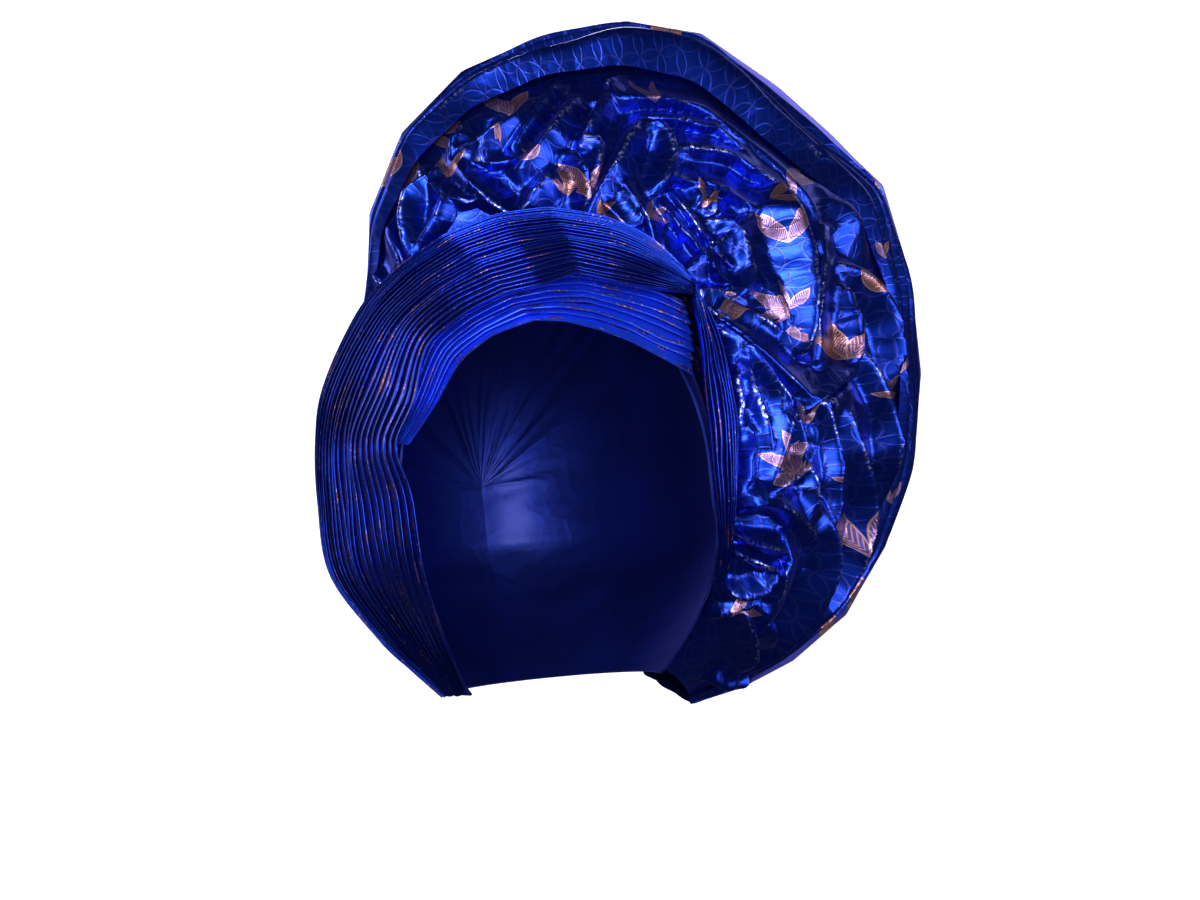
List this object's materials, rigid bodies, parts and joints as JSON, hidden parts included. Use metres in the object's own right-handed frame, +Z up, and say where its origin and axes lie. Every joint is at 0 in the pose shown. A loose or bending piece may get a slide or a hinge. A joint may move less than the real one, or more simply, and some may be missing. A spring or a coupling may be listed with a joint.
{
  "type": "pre-tied head tie",
  "caption": "Tall asymmetric head tie of stiff pleated cloth: a crown wrap, pleated bands round the face and a wide crumpled fan with a pleated rim.",
  "frame": {"origin": "inside the crown, where it sits on the top of the wearer's head", "axes": "+Z up out of the head, +X to the wearer's left, the face looks along -Y"},
  "size_m": [0.2786, 0.1835, 0.3006],
  "materials": {
    "crown_wrap": "plain stiff taffeta, deep royal blue",
    "brow_pleats": "glossy royal blue taffeta in sharp pleats",
    "halo_pleats": "glossy royal blue taffeta in sharp pleats, with copper flecks",
    "temple_pleats": "glossy royal blue taffeta in sharp pleats, with copper flecks",
    "fan_face": "metallic royal blue jacquard with fine lines and copper leaf sprays",
    "fan_back": "metallic royal blue jacquard",
    "rim_pleats": "glossy royal blue taffeta in nested folds"
  },
  "bodies": {
    "root": {"crown_wrap": "crown_wrap", "brow_pleats": "brow_pleats", "halo_pleats": "halo_pleats", "temple_pleats": "temple_pleats", "fan_face": "fan_face", "fan_back": "fan_back", "rim_pleats": "rim_pleats"}
  },
  "joints": []
}
